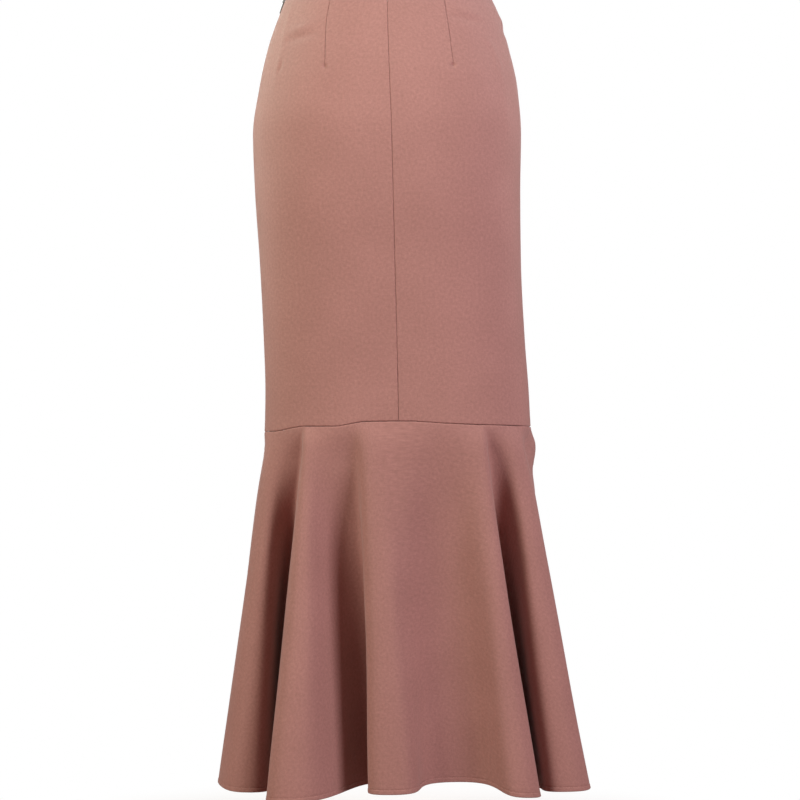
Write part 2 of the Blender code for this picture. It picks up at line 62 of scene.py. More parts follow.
# The outside of the cloth at each height
SECTION_COLUMNS = ("z", "left", "right", "back", "front", "side_y", "square", "seam_x")
SECTIONS = (
    (0, -124, 126, -91, 97, 6, 2.10, -1.0),
    (-35, -138, 142, -104, 105, 4, 2.12, 0.0),
    (-80, -153, 155, -120, 111, 1, 2.15, 1.2),
    (-130, -163.5, 165.5, -134, 113, -3, 2.20, 3.0),
    (-190, -171.5, 170, -141, 112, -6, 2.22, 5.4),
    (-260, -169, 169, -138, 110, -6, 2.22, 7.2),
    (-350, -163, 170, -127, 108, -4, 2.25, 9.4),
    (-450, -158, 175, -117, 106, -2, 2.28, 12.0),
    (-515, -156, 180, -112, 104, -1, 2.30, 13.4),
    (-575, -157, 183, -110, 103, 0, 2.30, 14.4),
)

# Each dart's line as (x, z) points from the waist to its tip
DARTS = {
    "back_left": ((-66, 0), (-71.4, -34), (-75.4, -64), (-76.5, -118)),
    "back_right": ((67, 0), (71.2, -34), (76.4, -72), (81.5, -116)),
    "front_right": ((64, 0), (70, -50), (78, -92)),
    "front_left": ((-64, 0), (-69, -45), (-76, -92)),
}
DART_BLEND_Z = -330.0
DART_INTAKE = 12.0
DART_REACH_BELOW = 60.0
HIP_Z = -190

# The seam round the knee that the flounce hangs from, as angles and heights
FLOUNCE_SEAM = (
    (-84, -567.5), (-68, -567), (-59, -566), (-50, -563), (-39, -560), (-24, -560),
    (-17, -557), (-11, -554), (2, -553.5), (16, -556),
    (34, -558), (50, -559), (65, -560), (80, -561), (97, -562), (113, -563), (128, -564),
    (193, -564), (211, -565), (229, -566), (246, -567), (262, -568), (276, -568),
)

# Soft troughs and ridges that wearing gives the body: the angle and z of one end and of the
# other, the width, and the height, which is less than 0 for a trough.
CREASES = (
    (-61, -28, -56.5, -80, 8, 1.0),
    (-56.5, -80, -56.5, -140, 8, 0.9),
    (-54.5, -104, -55, -121, 2.6, -2.4),
    (-66, -150, -63, -215, 12, 0.5),
    (-57, -68, -36, -63, 8, 1.8),
    (-55, -80, -35, -75, 5, -1.7),
    (-50, -60, -44, -60, 3, -0.8),
    (-19, -94, -12, -97, 5, 0.5),
    (30, -53, 51, -56, 4.5, -1.3),
    (32, -43, 52, -45, 6, 1.0),
    (50, -78, 56, -86, 5, 0.9),
    (56, -86, 57.5, -124, 8, 1.6),
    (57, -102, 56.5, -117, 2.4, -1.6),
    (58, -124, 60, -200, 12, 1.0),
    (74, -43, 100, -45, 7, 1.4),
    (74, -58, 100, -60, 6, -1.1),
    (-80, -230, -52, -258, 16, -0.5),
    (30, -268, 72, -250, 18, -0.45),
    (-30, -300, 20, -308, 22, 0.35),
    (-70, -470, -36, -500, 16, -0.5),
    (22, -486, 60, -462, 18, -0.45),
    (-12, -520, 14, -538, 12, 0.3),
    (112, -60, 130, -66, 6, -0.35),
    (118, -84, 124, -150, 10, -0.55),
    (146, -210, 206, -204, 16, -0.5),
    (150, -236, 214, -232, 18, 0.4),
    (236, -58, 248, -128, 9, -0.6),
    (226, -70, 238, -64, 6, 0.3),
    (164, -330, 196, -345, 20, -0.4),
    (120, -480, 152, -505, 16, -0.5),
    (208, -498, 240, -470, 17, -0.45),
)
MM_PER_DEGREE = 2.6
CREASE_ENDS = 0.35


def smooth_table(keys, values):
    """A smooth curve through a table with rising keys, which never overshoots its values."""
    keys, values = np.array(keys, float), np.array(values, float)
    steps = np.diff(values) / np.diff(keys)
    slopes = np.concatenate([steps[:1], np.zeros(len(values) - 2), steps[-1:]])
    before, after = steps[:-1], steps[1:]
    same_way = before * after > 0
    slopes[1:-1][same_way] = 2 * (before * after)[same_way] / (before + after)[same_way]

    def at(key):
        key = np.clip(key, keys[0], keys[-1])
        i = np.clip(np.searchsorted(keys, key, side="right") - 1, 0, len(keys) - 2)
        width = keys[i + 1] - keys[i]
        t = (key - keys[i]) / width
        start = (1 + 2 * t) * (1 - t) ** 2 * values[i] + t * (1 - t) ** 2 * width * slopes[i]
        end = t * t * (3 - 2 * t) * values[i + 1] - t * t * (1 - t) * width * slopes[i + 1]
        return start + end

    return at


def rising(rows, column, key=0):
    """A smooth table from a column of rows whose keys fall."""
    rows = sorted(rows, key=lambda row: row[key])
    return smooth_table([row[key] for row in rows], [row[column] for row in rows])


SECTION = {name: rising(SECTIONS, i) for i, name in enumerate(SECTION_COLUMNS) if i}
SEAM_HEIGHT = smooth_table(*zip(*FLOUNCE_SEAM))
DART_X = {name: rising(line, 0, key=1) for name, line in DARTS.items()}
TIP_Z = {name: line[-1][1] for name, line in DARTS.items()}


def seam_height(angle):
    """The height of the flounce seam at an angle."""
    first = FLOUNCE_SEAM[0][0]
    return SEAM_HEIGHT(first + np.mod(np.asarray(angle, float) - first, 360))


def body_point(angle, z):
    """The outside of the body of the skirt, before its creases and seams."""
    angle, z = np.broadcast_arrays(np.asarray(angle, float), np.asarray(z, float))
    left, right, side_y = (SECTION[name](z) for name in ("left", "right", "side_y"))
    power = 2 / SECTION["square"](z)
    sine, cosine = np.sin(np.radians(angle)), np.cos(np.radians(angle))
    x = (left + right) / 2 + (right - left) / 2 * np.sign(sine) * np.abs(sine) ** power
    depth = np.where(cosine > 0, side_y - SECTION["back"](z), SECTION["front"](z) - side_y)
    y = side_y - depth * np.sign(cosine) * np.abs(cosine) ** power
    return np.stack([x, y, z], axis=-1)


def unit(ways):
    return ways / np.linalg.norm(ways, axis=-1, keepdims=True)


def body_out(angle, z):
    """The way out of the cloth."""
    right_way = body_point(angle + 0.5, z) - body_point(angle - 0.5, z)
    down_way = body_point(angle, z - 1) - body_point(angle, z + 1)
    return unit(np.cross(down_way, right_way))


def angle_at_x(x, z, front=False):
    """The angle at which the body has this x, at the back or the front."""
    left, right = SECTION["left"](z), SECTION["right"](z)
    share = (x - (left + right) / 2) / ((right - left) / 2)
    sine = np.sign(share) * np.abs(share) ** (SECTION["square"](z) / 2)
    angle = np.degrees(np.arcsin(sine))
    return 180 - angle if front else angle


def eased(share):
    share = np.clip(share, 0, 1)
    return share * share * (3 - 2 * share)


def dart_angle(name, z, natural):
    """The angle of a dart's line, which fades below its tip to the cloth's own run."""
    angle = angle_at_x(DART_X[name](z), z, name.startswith("front"))
    fade = eased((z - TIP_Z[name]) / (DART_BLEND_Z - TIP_Z[name]))
    return angle + (natural - angle) * fade


def places_along(length, step, lines=(0.0, 1.0)):
    """Shares of a length for the rows of a mesh, crowded beside lines such as its ends."""
    plain = np.linspace(0, 1, round(length / step) + 1)
    near = [line + side * off / length for line in lines for side in (-1, 1) for off in CROWDED]
    clear = (CROWDED[-1] + step / 2) / length
    kept = [place for place in plain if all(abs(place - line) > clear for line in lines)]
    shares = np.round([*lines, *near, *kept], 9)
    return np.unique(shares[(shares >= 0) & (shares <= 1)])


def run(grid, axis):
    """How far along the cloth each point of a grid is, down it (0) or across it (1)."""
    steps = np.linalg.norm(np.diff(grid, axis=axis), axis=-1)
    first = np.zeros_like(np.take(grid[..., 0], [0], axis=axis))
    return np.concatenate([first, np.cumsum(steps, axis=axis)], axis=axis)


def roll_in(distance, radius=ROLL):
    """How far the cloth has rolled in at a distance from its seam or folded edge."""
    left = np.clip(radius - distance, 0, radius)
    return radius - np.sqrt(radius**2 - left**2)


def from_edges(grid):
    """How far each point of a grid is from its left and right sides, its top and its bottom."""
    from_left, from_top = run(grid, 1), run(grid, 0)
    return from_left, from_left[:, -1:] - from_left, from_top, from_top[-1:] - from_top


def rolled_edges(edges, knee):
    """How far the cloth has rolled in at its edges, and more softly at the knee seam."""
    return np.maximum(roll_in(np.minimum.reduce(edges)), roll_in(knee, KNEE_ROLL))


def crease_lift(angle, z):
    """How far the soft creases of the body lift the cloth."""
    lift = np.zeros(np.shape(angle))
    for angle_a, z_a, angle_b, z_b, width, height in CREASES:
        run_x, run_z = (angle_b - angle_a) * MM_PER_DEGREE, z_b - z_a
        off_x = (np.mod(angle - angle_a + 180, 360) - 180) * MM_PER_DEGREE
        off_z = z - z_a
        along = np.clip((off_x * run_x + off_z * run_z) / (run_x**2 + run_z**2), 0, 1)
        away = np.hypot(off_x - along * run_x, off_z - along * run_z)
        ends = CREASE_ENDS + (1 - CREASE_ENDS) * np.sin(np.pi * along)
        lift += height * ends * np.exp(-((away / width) ** 2))
    return lift


# Beside a seam the thread draws the cloth up a little, and the turnings inside lift it.
PUCKER = 0.10
PUCKER_REACH = 4.5
PUCKER_LENGTHS = (9.5, 14.3, 23.0)
TURNING = 12.0
TURNING_LIFT = 0.14
TURNING_EDGE = 3.0


def seam_lift(seams, phase):
    """The lift beside seams, each given as the distance from it and the run along it."""
    lift = 0.0
    for seam, (distance, along) in enumerate(seams, phase):
        waves = sum(
            np.sin(2 * np.pi * along / length + seam * (1.7 + i))
            for i, length in enumerate(PUCKER_LENGTHS)
        )
        past_turning = eased((distance - TURNING) / TURNING_EDGE + 0.5)
        lift = lift + PUCKER * waves * np.exp(-((distance / PUCKER_REACH) ** 2))
        lift = lift + TURNING_LIFT * (1 - past_turning)
    return lift


DART_ROLL = 0.85
DART_OPENS_IN = 4.0
DART_FOLD_LIFT = 0.28
DART_FOLD_EDGES = (0.8, 2.0)
DART_TIP_SIZE = 2.6
DART_TIP_SINK = 2.2

# The swell of cloth that a dart gives below its tip
SWELL_LIFT = 0.35
SWELL_BELOW = 14.0
SWELL_REACH = 16.0


def fold_way(name):
    """1 where a dart's fold is pressed towards rising angles, or else -1."""
    return -np.sign(DARTS[name][0][0]) * (-1 if name.startswith("front") else 1)


def dart_lift(name, away, z):
    """A dart's groove, the fold pressed to one side of it, and the dimple at its tip."""
    tip_z = TIP_Z[name]
    reach = 1 - z / tip_z
    open_part = eased(reach * abs(tip_z) / DART_OPENS_IN)
    groove = roll_in(np.abs(away), DART_ROLL) * open_part
    fold_side = away * fold_way(name)
    fold_width = DART_INTAKE * np.clip(reach, 0, 1)
    near_edge, far_edge = DART_FOLD_EDGES
    over_fold = eased(fold_side / near_edge) * (1 - eased((fold_side - fold_width) / far_edge))
    from_tip = np.hypot(away, z - tip_z)
    dimple = DART_TIP_SINK * np.exp(-((from_tip / DART_TIP_SIZE) ** 2))
    from_swell = np.hypot(away, z - tip_z + SWELL_BELOW)
    swell = SWELL_LIFT * np.exp(-((from_swell / SWELL_REACH) ** 2))
    return DART_FOLD_LIFT * over_fold * open_part - groove - dimple + swell


# The zip's slider parts the left side seam at its neck.
PIVOT_Z = -16.5
NECK_HALF_GAP = 0.8
NECK_HALF_LENGTH = 3.6
NECK_CLOSED = 10.6
PARTED_REACH = 7.0


def seam_half_gap(z, has_zip):
    away = abs(z - PIVOT_Z)
    parted = 1 - eased((away - NECK_HALF_LENGTH) / (NECK_CLOSED - NECK_HALF_LENGTH))
    return SEAM_GAP / 2 + (NECK_HALF_GAP - SEAM_GAP / 2) * parted * has_zip


def wall(outer, inner, cut):
    """The points, faces and cut places of a closed wall between two grids, seen from outside."""
    rows, columns = outer.shape[:2]
    number = np.arange(rows * columns).reshape(rows, columns)
    a, b, c, d = number[:-1, :-1], number[1:, :-1], number[1:, 1:], number[:-1, 1:]
    front = np.stack([a, b, c, d], axis=-1).reshape(-1, 4)
    inside = rows * columns
    loop = np.concatenate([number[0, ::-1], number[1:, 0], number[-1, 1:], number[-2:0:-1, -1]])
    following = np.roll(loop, -1)
    rim = np.stack([following, loop, loop + inside, following + inside], axis=-1)
    faces = np.concatenate([front, front[:, ::-1] + inside, rim])
    points = np.concatenate([outer.reshape(-1, 3), inner.reshape(-1, 3)])
    return points, faces, np.concatenate([cut.reshape(-1, 2)] * 2)


def in_scene(name, data):
    """An object for a mesh, a light or a camera, linked to the scene."""
    made = bpy.data.objects.new(name, data)
    bpy.context.scene.collection.objects.link(made)
    return made


def first_numbers(parts):
    """The number of each part's first point, once the parts are joined."""
    return np.cumsum([0, *(len(part) for part in parts[:-1])]).tolist()


SHARP_ANGLE = math.radians(62)


def sewn(name, walls, finish):
    """One object from walls of cloth. Its UV map is their place on the flat cut, in metres."""
    points, faces, cut = zip(*walls)
    faces = [part + first for part, first in zip(faces, first_numbers(points))]
    mesh = bpy.data.meshes.new(name)
    mesh.from_pydata(np.concatenate(points) * MM, [], np.concatenate(faces).tolist())
    layer = mesh.uv_layers.new(name="cut")
    corners = np.empty(len(mesh.loops), int)
    mesh.loops.foreach_get("vertex_index", corners)
    layer.data.foreach_set("uv", (np.concatenate(cut)[corners] * MM).ravel())
    mesh.shade_smooth()
    mesh.set_sharp_from_angle(angle=SHARP_ANGLE)
    mesh.materials.append(finish)
    return in_scene(name, mesh)


def body_panel(start, end, darts, zip_edges):
    """A body panel between two seams, whose angles are functions of the height.

    Gives the wall, and the panel's greatest width and area on the cut, darts included."""
    length = -float(seam_height(0))
    tips = {TIP_Z[dart] / -length for dart in darts}
    down = places_along(length, BODY_STEP, (0.0, *sorted(tips), 1.0))
    z_near = -down * length
    low, high = start(z_near), end(z_near)
    middles = [
        float((dart_angle(dart, z_near, 0)[0] - low[0]) / (high[0] - low[0])) for dart in darts
    ]
    keys = [0.0, *middles, 1.0]
    hip = body_point(np.linspace(low[0], high[0], 200), HIP_Z)
    across = places_along(float(run(hip, 0)[-1]), BODY_STEP, keys)
    lines = (dart_angle(d, z_near, low + (high - low) * m) for d, m in zip(darts, middles))
    angle = np.array([np.interp(across, keys, row) for row in zip(low, *lines, high)])
    z = down[:, None] * (seam_height(angle) + SEAM_GAP / 2)
    grid, out = body_point(angle, z), body_out(angle, z)
    from_left, from_right, from_top, from_bottom = from_edges(grid)
    seams = ((from_left, from_top), (from_right, from_top), (from_bottom, from_left))
    lift = crease_lift(angle, z) + seam_lift(seams, phase=1)
    grooves = np.zeros(z.shape)
    for dart, middle in zip(darts, middles):
        away = from_left - from_left[:, [int(np.argmin(abs(across - middle)))]]
        in_reach = z > TIP_Z[dart] - DART_REACH_BELOW
        grooves += np.where(in_reach, dart_lift(dart, away, z), 0)
    rolled = rolled_edges((from_left, from_right, from_top), from_bottom)
    across_way = unit(np.gradient(grid, axis=1))
    for distance, side, has_zip in ((from_left, 1, zip_edges[0]), (from_right, -1, zip_edges[1])):
        near = np.clip(1 - distance / PARTED_REACH, 0, 1)
        grid = grid + across_way * (side * near * seam_half_gap(z, has_zip))[..., None]
    outer = grid + out * (lift + grooves - rolled)[..., None]
    inside = lift + np.minimum(grooves, 0) * INSIDE_GROOVE - CLOTH - rolled * INSIDE_ROLL
    inner = grid + out * inside[..., None]
    cut = np.stack([(from_left - from_right) / 2, z], axis=-1)
    widths = from_left[:, -1]
    area = float(np.sum((widths[1:] + widths[:-1]) / 2 * np.diff(from_top[:, 0])))
    area += sum(DART_INTAKE * abs(TIP_Z[dart]) for dart in darts)
    return wall(outer, inner, cut), float(widths.max()) + 2 * ROLL, area


def centre_back(z):
    return angle_at_x(SECTION["seam_x"](z), z)


def at_angle(angle):
    return lambda z: np.full(np.shape(z), float(angle))


def linear(hex_code):
    """The linear colour of an sRGB hex code."""
    parts = [int(hex_code[i : i + 2], 16) / 255 for i in (1, 3, 5)]
    return *(c / 12.92 if c <= 0.04045 else ((c + 0.055) / 1.055) ** 2.4 for c in parts), 1.0


def set_inputs(tree, node, inputs):
    """Gives each input a value, or a link from a socket or from a node's first output."""
    for name, value in inputs.items():
        source = value.outputs[0] if isinstance(value, bpy.types.Node) else value
        if isinstance(source, bpy.types.NodeSocket):
            tree.links.new(source, node.inputs[name])
        else:
            node.inputs[name].default_value = source


def add(tree, kind, inputs={}, **settings):
    """Adds a node with its settings, values and links."""
    made = tree.nodes.new(kind)
    for name, value in settings.items():
        setattr(made, name, value)
    set_inputs(tree, made, inputs)
    return made


def new_finish(name):
    """A new material, its nodes and its shader."""
    finish = bpy.data.materials.new(name)
    finish.use_nodes = True
    return finish, finish.node_tree, finish.node_tree.nodes["Principled BSDF"]


def follow(tree, shader, tone, colours, grain, roughness):
    """Lets a shader's colour follow one texture and its roughness another, low to high."""
    ramp = add(tree, "ShaderNodeValToRGB", {"Fac": tone})
    for _ in colours[2:]:
        ramp.color_ramp.elements.new(0.5)
    for element, colour in zip(ramp.color_ramp.elements, colours):
        element.color = linear(colour)
    rough = add(tree, "ShaderNodeMapRange",
                {"Value": grain, "To Min": roughness[0], "To Max": roughness[1]})
    set_inputs(tree, shader, {"Base Color": ramp, "Roughness": rough})


# Crepe-faced double knit of polyester and elastane. The crepe yarn gives a matt, softly
# pebbled face with a faint mottle. Its colour follows the same pebble and mottle as the bump,
# so their pits are darker: painted shade in the pits, over a broad tone that differs at random.
# The filaments catch light at a grazing angle, which greys the edges. The real pebble is about
# 0.6 mm, and 1.5 mm is the finest that shows. The wales are about 1 mm apart, and show only as
# bands of several.
CREPE_COLOURS = ("#9F6F67", "#AA7770", "#B58079")
PEBBLE = 1.5
STREAK = 0.35
WALE_BAND = 6.9115
MOTTLE = 3.8
SHADE = 70.0
PEBBLE_SHARE = 0.5
SHADE_SHARE = 0.35
WALE_SHARE = 0.35

# How far apart a wave texture's bands lie where its scale is 1, in metres
WAVE_REPEAT = 2 * math.pi / 20


def crepe_finish():
    finish, tree, shader = new_finish("crepe_faced_double_knit")
    cut = add(tree, "ShaderNodeUVMap", uv_map="cut")
    streaks = [
        add(tree, "ShaderNodeTexNoise",
            {"Vector": add(tree, "ShaderNodeMapping", {"Vector": cut, "Scale": way}),
             "Scale": 1 / (PEBBLE * MM), "Detail": 2.0, "Roughness": 0.6})
        for way in ((1.0, STREAK, 1.0), (STREAK, 1.0, 1.0))
    ]
    pebble = add(tree, "ShaderNodeMath", {0: streaks[0], 1: streaks[1]}, operation="ADD")
    mottle = add(tree, "ShaderNodeTexNoise",
                 {"Vector": cut, "Scale": 1 / (MOTTLE * MM), "Detail": 3.0, "Roughness": 0.55})
    shade = add(tree, "ShaderNodeTexNoise",
                {"Vector": cut, "Scale": 1 / (SHADE * MM), "Detail": 1.0})
    wales = add(tree, "ShaderNodeTexWave",
                {"Vector": cut, "Scale": WAVE_REPEAT / (WALE_BAND * MM), "Distortion": 2.5,
                 "Detail": 2.0, "Detail Scale": 3.0},
                wave_type="BANDS", bands_direction="X", wave_profile="SIN")
    grain = add(tree, "ShaderNodeMath", {0: pebble, 1: PEBBLE_SHARE, 2: mottle},
                operation="MULTIPLY_ADD")
    tone = add(tree, "ShaderNodeMath", {0: shade, 1: SHADE_SHARE, 2: grain},
               operation="MULTIPLY_ADD")
    # Painted shade: the colour follows the bump's pebble and mottle, so their pits are painted
    # darker.
    spread = add(tree, "ShaderNodeMapRange", {"Value": tone, "From Min": 0.84, "From Max": 1.51})
    follow(tree, shader, spread, CREPE_COLOURS, mottle, (0.78, 0.94))
    height = add(tree, "ShaderNodeMath",
                 {0: wales.outputs["Fac"], 1: WALE_SHARE, 2: grain}, operation="MULTIPLY_ADD")
    bump = add(tree, "ShaderNodeBump", {"Height": height, "Strength": 0.65, "Distance": 0.00025})
    set_inputs(tree, shader, {"Normal": bump, "Specular IOR Level": 0.25,
                              "Sheen Weight": 0.2, "Sheen Roughness": 0.45})
    return finish


CREPE = crepe_finish()


def hang(node, shell, turnings):
    """Makes a sheet of the skirt, and the turnings sewn to it. Sizes are in millimetres."""
    cloth = sewn(f"{node}_cloth", [shell], CREPE)
    inside = sewn(f"{node}_turnings", turnings, CREPE)
    for part in (cloth, inside):
        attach(part, "skirt")
    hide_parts(node)


def strip(grid, out, lift, near, thick, cut):
    """A strip of cloth at this depth under the skirt's face, lifted as the face is."""
    outer = grid + out * (lift - near)[..., None]
    return wall(outer, outer - out * thick, cut)


# Inside, each turning is pressed flat and overlocked. A dart's fold is pressed towards the
# middle of the skirt, and the waist edge is turned in.
TURNING_THICK = 0.6
LAYER_GAP = 0.05
TURNING_NEAR = CLOTH + 0.12
SECOND_NEAR = TURNING_NEAR + TURNING_THICK + 0.1
WAIST_TURNING = 26.0
TURNING_TOP = -1.5
TURNING_STOP = 2.0
WAIST_TOP = -0.9
ZIP_CLEAR = 16.0
SEAM_CLEAR = 0.3
TURNING_CLEAR = 0.1


def turning(start, end, top, bottom, near, rows=80, columns=5):
    """A strip inside the body, between two heights. Its sides are functions of the height."""
    across, z = np.meshgrid(np.linspace(0, 1, columns), np.linspace(top, bottom, rows))
    angle = start(z) + (end(z) - start(z)) * across
    grid, out = body_point(angle, z), body_out(angle, z)
    cut = np.stack([run(grid, 1), z], axis=-1)
    return strip(grid, out, crease_lift(angle, z), near, TURNING_THICK, cut)


def beside(angle_of, distance):
    """The angle at a distance in millimetres along the cloth from a seam."""

    def at(z):
        angle = angle_of(z)
        step = math.copysign(2.0, distance)
        reach = np.linalg.norm(body_point(angle + step, z) - body_point(angle, z), axis=-1)
        return angle + distance * abs(step) / reach

    return at


DART_FOLD_END = 0.6


def dart_turning(name):
    """The fold of a dart, which narrows almost to nothing at its tip."""

    def line(z):
        return dart_angle(name, z, 0.0)

    def fold(z):
        width = DART_FOLD_END + DART_INTAKE * np.clip(1 - z / TIP_Z[name], 0, 1)
        return line(z) + (beside(line, 1.0)(z) - line(z)) * width * fold_way(name)

    sides = (line, fold) if fold_way(name) > 0 else (fold, line)
    return turning(*sides, TURNING_TOP, TIP_Z[name] + TURNING_STOP, TURNING_NEAR)


def body_turnings(start, end, darts, zip_edges):
    """All that is turned in on a body panel: its two long seams, its waist and its darts."""
    reach = (TURNING_TOP, float(seam_height(0)) + TURNING_STOP, TURNING_NEAR)
    start_clear, end_clear = (ZIP_CLEAR if has_zip else SEAM_CLEAR for has_zip in zip_edges)
    return [
        turning(beside(start, TURNING_CLEAR), beside(start, TURNING), *reach),
        turning(beside(end, -TURNING), beside(end, -TURNING_CLEAR), *reach),
        turning(beside(start, start_clear), beside(end, -end_clear),
                WAIST_TOP, -WAIST_TURNING, SECOND_NEAR, rows=14, columns=60),
        *(dart_turning(dart) for dart in darts),
    ]


for name, *panel in (
    ("back_panel_left", at_angle(-90), centre_back, ("back_left",), (True, False)),
    ("back_panel_right", centre_back, at_angle(90), ("back_right",), (False, False)),
):
    shell, width, area = body_panel(*panel)
    hang(name, shell, body_turnings(*panel))

# ------------------------
# Front panel. One piece of the same double knit from side seam to side seam, with a
# shorter dart each side. It is sewn to the back panels, and the zip sits in its left seam.

panel = (at_angle(90), at_angle(270), ("front_right", "front_left"), (False, True))
shell, width, area = body_panel(*panel)
hang("front_panel", shell, body_turnings(*panel))

# ------------------------
# Flounce. A back and a front of the same cloth, each cut as part of a ring so that it
# falls in deep flutes from the knee. The inner edges are sewn to the body, and the outer
# edges are turned up twice and topstitched.

# A row for each fold, from the left side round the back and the front. Crests and sides
# are on the flounce's outer ring, and valleys fall in from it. heading is the hem's way in
# plan at the fold, reach_in and reach_out how far it keeps it, pop how far the cloth stands
# off just under the seam, and growth the share of the depth in which the fold opens.
FOLD_COLUMNS = (
    "fold", "seam_angle", "hem_x", "hem_y", "hem_z", "heading", "reach_in", "reach_out", "pop",
    "growth",
)
FOLDS = (
    ("side_KA", -84, -217, 10, -1017, -88, 20, 20, -3, 0.30),
    ("crest_A", -67, -181, -66, -1018, -6, 30, 44, 0.5, 0.30),
    ("valley_AB", -43.5, -128, 18, -1026, 14, 30, 48, 0, 0.33),
    ("crest_B", -38, -111, -132, -1019, 3, 98, 54, 3, 0.28),
    ("valley_BC", -19.5, -12, -24, -1013, 6, 36, 50, 0, 0.44),
    ("crest_C", -9, 11.5, -122, -1011, 3, 88, 52, 3, 0.38),
    ("valley_CD", 14, 87, -60, -1006, 3, 70, 64, 0, 0.36),
    ("crest_D", 33.5, 169, -103, -1018, 12, 44, 55, 3, 0.30),
    ("valley_DE", 39.5, 184, 14, -1026, 10, 26, 30, 0, 0.34),
    ("crest_E", 56, 222, -69, -1017, 5, 48, 58, 3, 0.28),
    ("side_EF", 76, 230, 32, -1017, 118, 46, 16, -8, 0.30),
    ("crest_F", 94, 206, 76, -1018, 130, 24, 28, 7.5, 0.30),
    ("valley_FG", 113, 166, 60, -1022, 165, 24, 26, 0, 0.32),
    ("crest_G", 128, 154, 144, -1018, 165, 46, 46, 3, 0.32),
    ("valley_GH", 145, 92, 50, -1021, 175, 30, 30, 0, 0.32),
    ("crest_H", 160, 58, 162, -1017, 178, 54, 54, 3, 0.34),
    ("valley_HI", 176, 6, 54, -1021, 180, 30, 30, 0, 0.36),
    ("crest_I", 193, -44, 158, -1017, 184, 54, 48, 3, 0.34),
    ("valley_IJ", 211, -88, 54, -1022, 188, 30, 30, 0, 0.32),
    ("crest_J", 229, -140, 136, -1018, 205, 48, 46, 3, 0.32),
    ("valley_JK", 246, -148, 52, -1022, 225, 24, 24, 0, 0.32),
    ("crest_K", 262, -204, 70, -1018, 246, 30, 30, -1, 0.30),
)
FOLD_COUNT = len(FOLDS)
GROWTH_START = 1.5
POP_LENGTH = 0.06
SOFT_FALL = 6.0
FLOUNCE_STEP = 4.0
HEM_TURN = 8.0
STITCH_LINE = 6.0
STITCH_SINK = 0.3
STITCH_GROOVE = 0.9
HEM_PUFF = 0.3
HEM_PUFF_EDGE = 0.8

# The turned hem ropes a little: ridges run round it at a slant.
ROPING = 0.12
ROPING_LENGTH = 11.0
ROPING_SLANT = 0.8


def column(name):
    return [row[FOLD_COLUMNS.index(name)] for row in FOLDS]


def round_table(name, places, turn=0.0):
    """A smooth curve through a column of the fold table at some of its places, all round."""
    rows = [(place, column(name)[place]) for place in places]
    before = [(place - FOLD_COUNT, value - turn) for place, value in rows[-2:]]
    after = [(place + FOLD_COUNT, value + turn) for place, value in rows[:2]]
    return smooth_table(*zip(*before, *rows, *after))


ALL_FOLDS = range(FOLD_COUNT)
ON_RING = [i for i, row in enumerate(FOLDS) if not row[0].startswith("valley")]
FOLD_ANGLE = round_table("seam_angle", ALL_FOLDS, 360.0)
FOLD_HEM_Z = round_table("hem_z", ALL_FOLDS)
FOLD_POP = round_table("pop", ALL_FOLDS)
FOLD_GROWTH = round_table("growth", ALL_FOLDS)
FOLD_HEADING = round_table("heading", ALL_FOLDS, 360.0)
RING_X = round_table("hem_x", ON_RING)
RING_Y = round_table("hem_y", ON_RING)


def hem_plan(place):
    """The hem in plan. A whole number is a fold of the table, and between folds it bends."""
    start = place.astype(int)
    end = (start + 1) % FOLD_COUNT
    t = (place - start)[..., None]
    corners = np.stack([column("hem_x"), column("hem_y")], axis=-1)
    heading = np.radians(column("heading"))
    ways = np.stack([np.cos(heading), np.sin(heading)], axis=-1)
    leave = corners[start] + ways[start] * np.array(column("reach_out"))[start, None]
    arrive = corners[end] - ways[end] * np.array(column("reach_in"))[end, None]
    near = (1 - t) ** 3 * corners[start] + 3 * (1 - t) ** 2 * t * leave
    return near + 3 * (1 - t) * t * t * arrive + t**3 * corners[end]


def flounce_point(place, t):
    """The outside of the flounce, from t = 0 at the seam to 1 at the hem.

    The ring that the crests lie on widens evenly, and the folds deepen fast at first."""
    place, t = np.broadcast_arrays(np.asarray(place, float), np.asarray(t, float))
    place = np.mod(place, FOLD_COUNT)
    angle = FOLD_ANGLE(place)
    height = seam_height(angle) - SEAM_GAP / 2
    top = body_point(angle, height)
    hem = np.concatenate([hem_plan(place), FOLD_HEM_Z(place)[..., None]], axis=-1)
    ring = np.stack([RING_X(place), RING_Y(place), hem[..., 2]], axis=-1)
    heading = np.radians(FOLD_HEADING(place))
    out = np.stack([np.sin(heading), -np.cos(heading), 0 * heading], axis=-1)
    fall = np.sum((ring - hem) * out, axis=-1)
    depth = (fall + np.hypot(fall, SOFT_FALL)) / 2
    grown = 1 - np.exp(-((t / FOLD_GROWTH(place)) ** GROWTH_START))
    pop = FOLD_POP(place) * (t / POP_LENGTH * np.exp(1 - t / POP_LENGTH)) ** 2
    return top + (hem - top) * t[..., None] + out * (pop - depth * (grown - t))[..., None]


def flounce_out(place, t):
    """The way out of the flounce's cloth."""
    step = 0.02
    right_way = flounce_point(place + step, t) - flounce_point(place - step, t)
    down_way = flounce_point(place, np.minimum(t + step, 1))
    down_way = down_way - flounce_point(place, np.maximum(t - step, 0))
    return unit(np.cross(down_way, right_way))


# Dents and swells that the hand finds in the folds: place, t, their reach across in folds
# and down as a share of the depth, and their height.
DENTS = (
    (11.0, 0.050, 0.6, 0.028, 0.9),
    (11.0, 0.125, 0.6, 0.034, -2.8),
    (19.0, 0.060, 0.6, 0.030, 0.8),
    (13.0, 0.045, 0.5, 0.025, 0.7),
    (3.0, 0.035, 0.5, 0.022, 0.5),
    (2.0, 0.075, 0.55, 0.040, -2.0),
    (4.0, 0.080, 0.50, 0.045, -1.8),
    (8.0, 0.075, 0.50, 0.040, -2.2),
)

